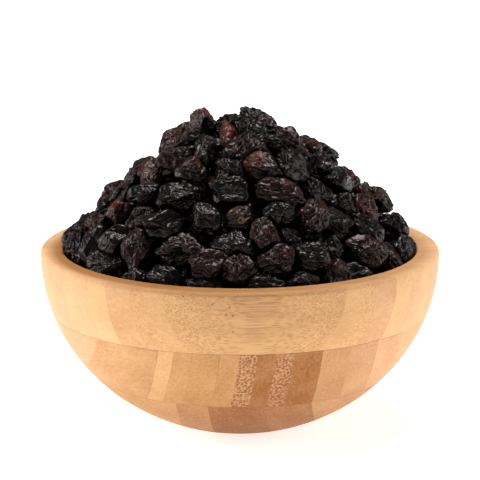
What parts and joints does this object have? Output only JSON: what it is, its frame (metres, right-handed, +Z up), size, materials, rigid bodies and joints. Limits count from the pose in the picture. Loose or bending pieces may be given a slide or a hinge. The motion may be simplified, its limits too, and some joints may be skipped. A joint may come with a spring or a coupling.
{
  "type": "bowl of black raisins",
  "caption": "Round turned bowl of laminated bamboo boards, filled and heaped with wrinkled black raisins; stands on its flat base.",
  "frame": {"origin": "middle of the bowl's flat base, on the surface that it stands on", "axes": "+Z up along the bowl's axis; -Y is the front, the side that the picture shows; +X is to the right as seen from the front"},
  "size_m": [0.15, 0.15, 0.1171],
  "materials": {
    "bamboo": "satin oiled bamboo, light gold with fine fibre dashes, thin dark glue lines",
    "raisin_skin": "wrinkled near-black skin with a soft sheen, a few raisins red-brown"
  },
  "bodies": {
    "root": {"bowl_base_board": "bamboo", "bowl_middle_board": "bamboo", "bowl_top_board": "bamboo", "raisin_heap": "raisin_skin"}
  },
  "joints": []
}
